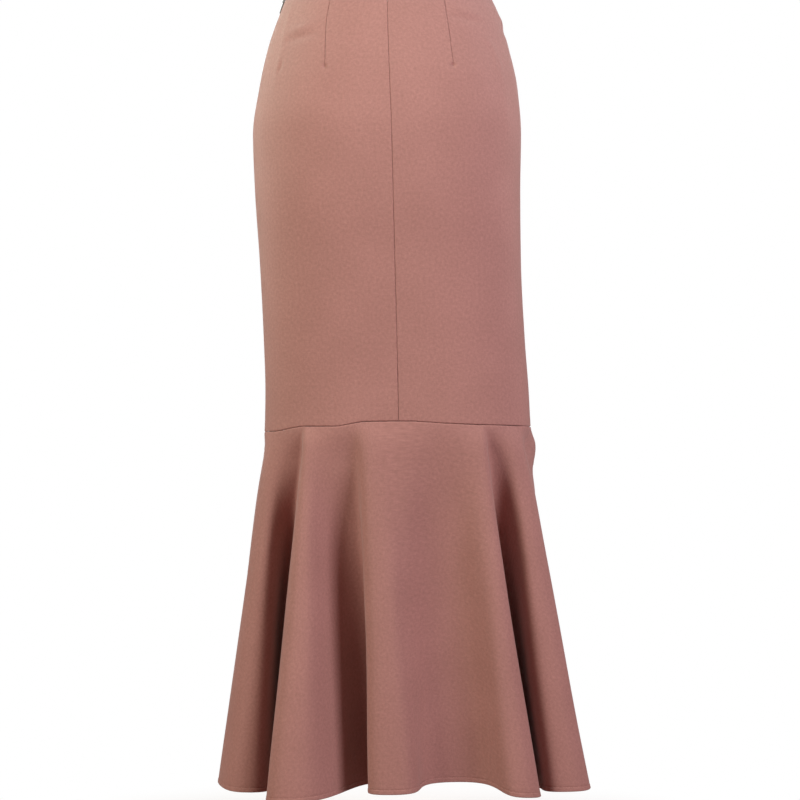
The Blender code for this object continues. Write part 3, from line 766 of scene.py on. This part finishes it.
# The flutes aren't quite straight: the cloth sways a little from just under the seam on.
# Each wave has turns for each fold and down the depth, a height and a phase.
SWAYS = ((0.37, 1.15, 0.54, 0.4), (0.83, 0.7, 0.48, 2.1), (1.61, 1.9, 0.27, 4.0))
SWAY_GROWTH = 2.2


def sway(place, t):
    """How far the cloth lies outside its even folds."""
    waves = sum(
        height * np.sin(2 * np.pi * (rate * place + turns * t) + phase)
        for rate, turns, height, phase in SWAYS
    )
    lift = waves * eased(t * SWAY_GROWTH)
    for dent_place, dent_t, across, down, height in DENTS:
        off_place = np.mod(place - dent_place + FOLD_COUNT / 2, FOLD_COUNT) - FOLD_COUNT / 2
        lift = lift + height * np.exp(-((off_place / across) ** 2) - ((t - dent_t) / down) ** 2)
    return lift


def fold_place_at(angle):
    """The place in the fold table whose seam lies at this angle."""
    places = np.linspace(0, FOLD_COUNT, 4001)
    angles = FOLD_ANGLE(places)
    return float(np.interp(angles[0] + (angle - angles[0]) % 360, angles, places))


def hem_places(half, step):
    """Places in the fold table, even along half the hem, and how far along it each is."""
    start, end = (fold_place_at(angle) for angle in half)
    end += FOLD_COUNT * (end < start)
    fine = np.linspace(start, end, 6000)
    along = run(hem_plan(np.mod(fine, FOLD_COUNT)), 0)
    shares = places_along(float(along[-1]), step)
    return np.interp(shares * along[-1], along, fine), shares * along[-1]


def ring_cut(half):
    """The part of a ring that a flounce is cut as: its inner radius, depth and angle."""
    places, along = hem_places(half, FLOUNCE_STEP)
    seam = flounce_point(places, 0.0)
    depth = float(np.linalg.norm(flounce_point(places, 1.0) - seam, axis=-1).mean())
    inner_edge = float(run(seam, 0)[-1])
    turn = (along[-1] - inner_edge) / depth
    return inner_edge / turn, depth, turn


def flounce(half):
    places, along = hem_places(half, FLOUNCE_STEP)
    radius, depth, turn = ring_cut(half)
    stitches = 1 - STITCH_LINE / depth
    t = places_along(depth, FLOUNCE_STEP, (0.0, stitches, 1.0))[:, None]
    place = places[None, :]
    grid, out = flounce_point(place, t), flounce_out(place, t)
    from_left, from_right, from_top, from_hem = from_edges(grid)
    rolled = rolled_edges((from_left, from_right, from_hem), from_top)
    seams = ((from_left, from_top), (from_right, from_top), (from_top, from_left))
    lift = sway(place, t) + seam_lift(seams, phase=4)
    turned = eased((STITCH_LINE - from_hem) / HEM_PUFF_EDGE + 0.5)
    ropes = np.sin(2 * np.pi * (along[None, :] + ROPING_SLANT * from_hem) / ROPING_LENGTH)
    groove = STITCH_SINK * np.exp(-(((from_hem - STITCH_LINE) / STITCH_GROOVE) ** 2))
    hem_shape = turned * (HEM_PUFF + ROPING * ropes) - groove
    outer = grid + out * (lift + hem_shape - rolled)[..., None]
    inner = grid + out * (lift - CLOTH - rolled * INSIDE_ROLL)[..., None]
    angle = turn * (along / along[-1] - 0.5)[None, :]
    reach = radius + depth * t
    cut = np.stack([reach * np.sin(angle), -reach * np.cos(angle)], axis=-1)
    return wall(outer, inner, cut)


def flounce_strip(places, t, near, thick):
    """A strip inside the flounce between rows t, at the places given."""
    place, t = np.broadcast_arrays(places, t)
    grid = flounce_point(place, t)
    cut = np.stack([run(grid, 1), run(grid, 0)], axis=-1)
    return strip(grid, flounce_out(place, t), sway(place, t), near, thick, cut)


HEM_INSET = 0.3
HEM_FOLD_THICK = 1.0


def flounce_turnings(half):
    """The flounce's two side turnings and its hem, which is turned up twice."""
    places = hem_places(half, FLOUNCE_STEP * 1.5)[0]
    depth = ring_cut(half)[1]
    hem = np.linspace(1 - HEM_TURN / depth, 1 - HEM_INSET / depth, 5)[:, None]
    walls = [flounce_strip(places[None, :], hem, CLOTH + LAYER_GAP, HEM_FOLD_THICK)]
    down = np.linspace(TURNING_STOP / depth, 1 - (HEM_TURN + 1) / depth, 90)
    for step, edge in ((0.05, places[0]), (-0.05, places[-1])):
        across_step = flounce_point(edge + step, down) - flounce_point(edge, down)
        reach = abs(step) * TURNING / np.linalg.norm(across_step, axis=-1)
        across = np.sort(np.copysign(np.linspace(0.01, 1, 5), step))
        strip_places = edge + reach[:, None] * across[None, :]
        walls.append(flounce_strip(strip_places, down[:, None], TURNING_NEAR, TURNING_THICK))
    return walls


HALVES = {"flounce_back": (-90, 90), "flounce_front": (90, 270)}

for name, half in HALVES.items():
    radius, depth, turn = ring_cut(half)
    height = radius + depth - radius * math.cos(turn / 2)
    area = turn / 2 * ((radius + depth) ** 2 - radius**2)
    hang(name, flounce(half), flounce_turnings(half))

# ------------------------
# Sewing. Spun polyester thread, dyed to match. A lockstitch holds the hem 6 mm above its
# edge, and each turning's cut edge is overlocked so that the knit doesn't run.

THREAD = 0.42
HEM_STITCH = 3.2
HEM_STITCH_SHOWS = 0.82
OVERLOCK_PITCH = 3.0
OVERLOCK_WIDTH = 4.5
OVERLOCK_SLANT = math.radians(62)


def clouded_finish(name, grain, detail, colours, roughness, settings):
    """A finish that drifts in colour and roughness, with its grain in millimetres."""
    finish, tree, shader = new_finish(name)
    place = add(tree, "ShaderNodeTexCoord").outputs["Object"]
    cloud = add(tree, "ShaderNodeTexNoise",
                {"Vector": place, "Scale": 1 / (grain * MM), "Detail": detail})
    follow(tree, shader, cloud, colours, cloud, roughness)
    set_inputs(tree, shader, settings)
    return finish


# Spun polyester thread: slightly glossier than the crepe, with a fine twist
POLYESTER_THREAD = clouded_finish(
    "spun_polyester_thread", 0.7, 1.0, ("#7E483C", "#9A6558"), (0.5, 0.68), {"Sheen Weight": 0.15}
)


def nodes_along_lines(name, sizes, make_piece, along_axis, out_axis):
    """Nodes that set a piece at even steps along lines, whose points carry their way out.

    The piece's along_axis follows the line, and its out_axis points out of the cloth."""
    tree = bpy.data.node_groups.new(name, "GeometryNodeTree")
    sockets = {"Lines": "Geometry", **dict.fromkeys(sizes, "Float"), "Finish": "Material"}
    for socket, kind in sockets.items():
        tree.interface.new_socket(socket, in_out="INPUT", socket_type=f"NodeSocket{kind}")
    tree.interface.new_socket("Pieces", in_out="OUTPUT", socket_type="NodeSocketGeometry")
    given = add(tree, "NodeGroupInput").outputs
    curve = add(tree, "GeometryNodeMeshToCurve", {"Mesh": given["Lines"]})
    spaced = add(tree, "GeometryNodeResampleCurve",
                 {"Curve": curve, "Length": given["Pitch"]}, mode="LENGTH")
    tangent = add(tree, "GeometryNodeInputTangent")
    along = add(tree, "FunctionNodeAlignRotationToVector", {"Vector": tangent}, axis=along_axis)
    out = add(tree, "GeometryNodeInputNamedAttribute", {"Name": "out"}, data_type="FLOAT_VECTOR")
    upright = add(tree, "FunctionNodeAlignRotationToVector", {"Rotation": along, "Vector": out},
                  axis=out_axis, pivot_axis=along_axis)
    placing = make_piece(tree, given, upright)
    placed = add(tree, "GeometryNodeInstanceOnPoints", {"Points": spaced, **placing})
    real = add(tree, "GeometryNodeRealizeInstances", {"Geometry": placed})
    smooth = add(tree, "GeometryNodeSetShadeSmooth", {"Geometry": real})
    dyed = add(tree, "GeometryNodeSetMaterial", {"Geometry": smooth, "Material": given["Finish"]})
    add(tree, "NodeGroupOutput", {"Pieces": dyed})
    return tree


def stitch(tree, given, upright):
    """A stitch of thread, which may lie across the line at a slant."""
    size = add(tree, "ShaderNodeCombineXYZ",
               {"X": given["Length"], "Y": given["Thread"], "Z": given["Thread"]})
    ball = add(tree, "GeometryNodeMeshUVSphere", {"Segments": 6, "Rings": 5, "Radius": 0.5})
    along_x = add(tree, "GeometryNodeTransform",
                  {"Geometry": ball, "Rotation": (0.0, math.radians(90), 0.0)})
    lean = add(tree, "ShaderNodeCombineXYZ", {"Z": given["Slant"]})
    turned = add(tree, "FunctionNodeRotateRotation",
                 {"Rotation": upright, "Rotate By": lean}, rotation_space="LOCAL")
    return {"Instance": along_x, "Rotation": turned, "Scale": size}


STITCHES = nodes_along_lines(
    "stitches_on_a_line", ("Pitch", "Length", "Thread", "Slant"), stitch, "X", "Z"
)


def line_object(name, lines):
    """A mesh of open lines, each a pair of arrays: its points and its ways out."""
    points, outs = zip(*lines)
    edges = [
        (first + i, first + i + 1)
        for line, first in zip(points, first_numbers(points)) for i in range(len(line) - 1)
    ]
    mesh = bpy.data.meshes.new(name)
    mesh.from_pydata(np.concatenate(points) * MM, edges, [])
    layer = mesh.attributes.new("out", "FLOAT_VECTOR", "POINT")
    layer.data.foreach_set("vector", np.concatenate(outs).ravel())
    return in_scene(name, mesh)


def made_on_lines(name, lines, tree, inputs):
    """Runs a node tree on lines and keeps the result as a plain mesh."""
    source = line_object(f"{name}_line", lines)
    modifier = source.modifiers.new("nodes", "NODES")
    modifier.node_group = tree
    identifiers = {
        item.name: item.identifier for item in tree.interface.items_tree if item.in_out == "INPUT"
    }
    for key, value in inputs.items():
        modifier[identifiers[key]] = value
    seen = source.evaluated_get(bpy.context.evaluated_depsgraph_get())
    mesh = bpy.data.meshes.new_from_object(seen)
    bpy.data.objects.remove(source)
    mesh.name = name
    return in_scene(name, mesh)


def stitched(name, lines, pitch, length, slant=0.0):
    piece = made_on_lines(name, lines, STITCHES, {
        "Pitch": pitch * MM, "Length": length * MM, "Thread": THREAD * MM,
        "Slant": slant, "Finish": POLYESTER_THREAD,
    })
    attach(piece, "skirt")


# The topstitching lies sunk in the face, and again on the turned hem inside.
HEM_STITCH_LIFTS = (-0.1, -CLOTH - 1.2)
HEM_LINE_STEP = 3.0


def hem_line(half, lift):
    """The stitching line above the hem, at a lift from the outside of the cloth."""
    places = hem_places(half, HEM_LINE_STEP)[0]
    t = np.full(len(places), 1 - STITCH_LINE / ring_cut(half)[1])
    out = flounce_out(places, t)
    return flounce_point(places, t) + out * (sway(places, t) + lift)[:, None], out


hem_lines = [hem_line(half, lift) for lift in HEM_STITCH_LIFTS for half in HALVES.values()]
stitched("hem_topstitching", hem_lines, HEM_STITCH, HEM_STITCH * HEM_STITCH_SHOWS)


def body_line(angle, z, lift):
    out = body_out(angle, z)
    return body_point(angle, z) + out * (crease_lift(angle, z) + lift)[:, None], out


# The body's overlocking ends short of the flounce seam, and at the waist short of the zip.
OVERLOCK_END = -552
WAIST_OVERLOCK = (-83, 263)

inset = OVERLOCK_WIDTH / 2
z = np.linspace(-WAIST_TURNING - TURNING_STOP, OVERLOCK_END, 160)
overlocked = [
    body_line(beside(seam, side * (TURNING - inset))(z), z,
              -(TURNING_NEAR + TURNING_THICK + LAYER_GAP))
    for seam in (centre_back, at_angle(90), at_angle(-90)) for side in (-1, 1)
]
angle = np.linspace(*WAIST_OVERLOCK, 240)
overlocked.append(body_line(angle, np.full(angle.shape, inset - WAIST_TURNING),
                            -(SECOND_NEAR + TURNING_THICK + LAYER_GAP)))
stitched("overlocking", overlocked, OVERLOCK_PITCH, OVERLOCK_WIDTH, OVERLOCK_SLANT)

# ------------------------
# Zip. A nylon coil sewn on two woven polyester tapes lies hidden inside the left side
# seam. The slider is plated zinc. Its neck comes out through the seam, and the pull tab
# hangs from it outside.

ZIP_LENGTH = 190.0
ZIP_TOP = -3.0
TAPE_NEAR = 2.0
TAPE_THICK = 0.7
TAPE_FROM_SEAM = 1.2
TAPE_WIDTH = 11.0
YARN_BAND = 5.6549
COIL_NEAR = 3.0
COIL_WIDTH = 3.4
COIL_THICK = 1.5
COIL_BELOW_PIVOT = 7.5
COIL_END = 4 - ZIP_LENGTH
TOOTH_PITCH = 1.25
TOOTH_WIRE = 0.55
CASTING_EDGE = 0.25


def beside_zip(distance, z):
    """The angle this far in y from the left seam, to the front where it is positive."""
    side_y = SECTION["side_y"](z)
    front_depth, back_depth = SECTION["front"](z) - side_y, side_y - SECTION["back"](z)
    depth = np.where(distance > 0, front_depth, back_depth)
    cosine = (np.abs(distance) / depth) ** (SECTION["square"](z) / 2)
    return -90 - np.sign(distance) * (90 - np.degrees(np.arccos(cosine)))


def tape_finish():
    """Woven polyester tape: a fine herringbone, matt, dyed a shade darker than the cloth.
    Its colour is darker where the weave dips, which is painted shade in the weave's hollows.
    """
    finish, tree, shader = new_finish("woven_polyester_tape")
    cut = add(tree, "ShaderNodeUVMap", uv_map="cut")
    yarns = [
        add(tree, "ShaderNodeTexWave",
            {"Vector": cut, "Scale": WAVE_REPEAT / (YARN_BAND * MM), "Distortion": 0.6},
            wave_type="BANDS", bands_direction=way).outputs["Fac"]
        for way in ("DIAGONAL", "Y")
    ]
    weave = add(tree, "ShaderNodeMath", {0: yarns[0], 1: yarns[1]}, operation="MULTIPLY")
    bump = add(tree, "ShaderNodeBump", {"Height": weave, "Strength": 0.6, "Distance": 0.0002})
    # Painted shade: the colour follows the weave's bump, darker in its hollows.
    follow(tree, shader, weave, ("#8C5648", "#A87061"), weave, (0.88, 0.74))
    set_inputs(tree, shader, {"Normal": bump})
    return finish


WOVEN_TAPE = tape_finish()

for name, start, end in (
    ("zip_tape_back", -TAPE_FROM_SEAM - TAPE_WIDTH, -TAPE_FROM_SEAM),
    ("zip_tape_front", TAPE_FROM_SEAM, TAPE_FROM_SEAM + TAPE_WIDTH),
):
    distance, z = np.meshgrid(np.linspace(end, start, 9), np.linspace(ZIP_TOP, -ZIP_LENGTH, 60))
    angle = beside_zip(distance, z)
    grid, out = body_point(angle, z), body_out(angle, z)
    cut = np.stack([distance, z], axis=-1)
    woven = strip(grid, out, 0 * z, TAPE_NEAR, TAPE_THICK, cut)
    tape = sewn(f"{name}_woven", [woven], WOVEN_TAPE)
    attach(tape, "skirt")
    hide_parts(name)

# Dyed nylon monofilament: smooth and slightly glossy, a touch lighter in places
NYLON_COIL = clouded_finish(
    "dyed_nylon_coil", 4.0, 2.0, ("#9C6455", "#B98273"), (0.3, 0.42), {"IOR": 1.53}
)


def coil_turn(tree, given, upright):
    """A turn of the coil: a flat ring of wire that lies across the line."""
    ring = add(tree, "GeometryNodeCurvePrimitiveCircle", {"Resolution": 14, "Radius": 0.5})
    size = add(tree, "ShaderNodeCombineXYZ", {"X": given["Width"], "Y": given["Thickness"]})
    flat_ring = add(tree, "GeometryNodeTransform", {"Geometry": ring, "Scale": size})
    section = add(tree, "GeometryNodeCurvePrimitiveCircle",
                  {"Resolution": 6, "Radius": given["Wire"]})
    wire = add(tree, "GeometryNodeCurveToMesh", {"Curve": flat_ring, "Profile Curve": section})
    return {"Instance": wire, "Rotation": upright}


COIL_TURNS = nodes_along_lines(
    "coil_along_a_line", ("Pitch", "Width", "Thickness", "Wire"), coil_turn, "Z", "Y"
)
z = np.linspace(PIVOT_Z - COIL_BELOW_PIVOT, COIL_END, 160)
coil_middle = body_line(at_angle(-90)(z), z, -(COIL_NEAR + COIL_THICK / 2))
coil = made_on_lines("zip_coil_turns", [coil_middle], COIL_TURNS, {
    "Pitch": TOOTH_PITCH * MM, "Width": (COIL_WIDTH - TOOTH_WIRE) * MM,
    "Thickness": (COIL_THICK - TOOTH_WIRE) * MM, "Wire": TOOTH_WIRE / 2 * MM,
    "Finish": NYLON_COIL,
})
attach(coil, "skirt")
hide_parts("zip_coil")

# Nickel-plated zinc casting: grey, with the soft tumbled look of small castings
NICKEL_PLATE = clouded_finish(
    "nickel_plated_zinc", 2.5, 3.0, ("#6A625F", "#8F8681"), (0.32, 0.48), {"Metallic": 1.0}
)

# A face is flat up to the first, and an edge is rounded past the second, sharp past the third.
FLAT_ANGLE, CORNER_ANGLE, CREASE_ANGLE = np.radians((2, 35, 40))


def rounded_casting(node, name):
    """A casting on its node's own form, with its edges rounded."""
    shape = bmesh.new()
    shape.from_mesh(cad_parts[node].data)
    bmesh.ops.remove_doubles(shape, verts=shape.verts, dist=0.00001)
    bmesh.ops.dissolve_limit(shape, angle_limit=FLAT_ANGLE, verts=shape.verts, edges=shape.edges)
    corners = [edge for edge in shape.edges if edge.calc_face_angle(0) > CORNER_ANGLE]
    bmesh.ops.bevel(shape, geom=corners, offset=CASTING_EDGE * MM, segments=3, profile=0.5,
                    affect="EDGES", clamp_overlap=True)
    mesh = bpy.data.meshes.new(name)
    shape.to_mesh(mesh)
    shape.free()
    mesh.shade_smooth()
    mesh.set_sharp_from_angle(angle=CREASE_ANGLE)
    mesh.materials.append(NICKEL_PLATE)
    piece = in_scene(name, mesh)
    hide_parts(node)
    return piece


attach(rounded_casting("zip_slider", "zip_slider_cast"), "skirt")
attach(rounded_casting("zip_pull", "zip_pull_cast"), "pull_tab")

# ------------------------
# Studio: a pale round floor that fades into a white surround, softboxes all round the
# skirt, and the camera behind the wearer, just above the knees.

FLOOR_Z = -1.12
FLOOR_RADIUS = 2.2
FADE_START, FADE_END = 0.25, 0.65
WHITE = linear("#FFFFFF")


def floor_finish():
    """Matt white studio vinyl, which fades to the white surround."""
    finish, tree, shader = new_finish("matt_white_vinyl")
    set_inputs(tree, shader, {"Base Color": linear("#F4F2F0"), "Roughness": 0.8})
    place = add(tree, "ShaderNodeTexCoord").outputs["Object"]
    away = add(tree, "ShaderNodeVectorMath", {0: place}, operation="LENGTH")
    fade = add(tree, "ShaderNodeMapRange",
               {"Value": away.outputs["Value"], "From Min": FADE_START, "From Max": FADE_END},
               interpolation_type="SMOOTHSTEP")
    white = add(tree, "ShaderNodeEmission", {"Color": WHITE, "Strength": 1.0})
    mixed = add(tree, "ShaderNodeMixShader", {0: fade, 1: shader, 2: white})
    set_inputs(tree, tree.nodes["Material Output"], {"Surface": mixed})
    return finish


disc = bmesh.new()
bmesh.ops.create_circle(disc, cap_ends=True, segments=96, radius=FLOOR_RADIUS)
floor_mesh = bpy.data.meshes.new("studio_floor")
disc.to_mesh(floor_mesh)
disc.free()
floor_mesh.materials.append(floor_finish())
floor = in_scene("studio_floor", floor_mesh)
floor.location.z = FLOOR_Z
floor.visible_diffuse = False

# name, place, the height on the middle line that it aims at, width, height, watts, spread
# in degrees, tint
SOFTBOXES = (
    ("left_box", (-1.7, -1.5, 0.55), -0.4, 1.0, 1.6, 50, 180, "#F5FCEA"),
    ("right_box", (1.7, -1.6, 0.55), -0.4, 1.0, 1.6, 55, 180, "#F2F5FB"),
    ("top_box", (-0.2, -1.2, 1.5), -0.1, 1.2, 0.6, 7, 180, "#A0FFF8"),
    ("high_left_box", (-1.5, 0.7, 0.5), 0.0, 0.8, 0.6, 2.0, 40, "#D0FFF4"),
    ("high_right_box", (1.5, 0.7, 0.5), 0.0, 0.8, 0.6, 0.9, 40, "#D8FFFF"),
    ("far_left_box", (-1.6, 0.9, 0.2), -0.45, 1.0, 1.7, 3, 180, "#FFE8E0"),
    ("far_right_box", (1.6, 0.9, 0.2), -0.45, 1.0, 1.7, 1.5, 180, "#FFE8E0"),
    ("front_box", (0.0, 2.4, 0.5), -0.45, 1.8, 1.4, 44, 180, "#F4FBFF"),
)
for name, place, aim_z, width, height, watts, spread, tint in SOFTBOXES:
    lamp = bpy.data.lights.new(name, "AREA")
    lamp.shape = "RECTANGLE"
    lamp.size = width
    lamp.size_y = height
    lamp.energy = watts
    lamp.spread = math.radians(spread)
    lamp.color = linear(tint)[:3]
    softbox = in_scene(name, lamp)
    softbox.location = place
    beam = Vector((0.0, 0.0, aim_z)) - Vector(place)
    softbox.rotation_euler = beam.to_track_quat("-Z", "Y").to_euler()
    softbox.visible_camera = False

WORLD_FILL = 0.16
FILL_TINT = "#FFA292"
world = bpy.data.worlds.new("white_surround")
world.use_nodes = True
sky = world.node_tree
sky.nodes.clear()
seen = add(sky, "ShaderNodeBackground", {"Color": WHITE, "Strength": 1.0})
fill = add(sky, "ShaderNodeBackground", {"Color": linear(FILL_TINT), "Strength": WORLD_FILL})
ray = add(sky, "ShaderNodeLightPath")
both = add(sky, "ShaderNodeMixShader", {0: ray.outputs["Is Camera Ray"], 1: fill, 2: seen})
add(sky, "ShaderNodeOutputWorld", {"Surface": both})
scene = bpy.context.scene
scene.world = world
scene.view_settings.view_transform = "Standard"

CAMERA_PLACE = (0.0158, -2.8, -0.5274)
SENSOR = 36.0
WIDTH_SEEN = 1.024
lens = bpy.data.cameras.new("camera")
lens.sensor_width = SENSOR
lens.lens = SENSOR * -CAMERA_PLACE[1] / WIDTH_SEEN
camera = in_scene("camera", lens)
camera.location = CAMERA_PLACE
camera.rotation_euler = (math.radians(90), 0.0, 0.0)
scene.camera = camera
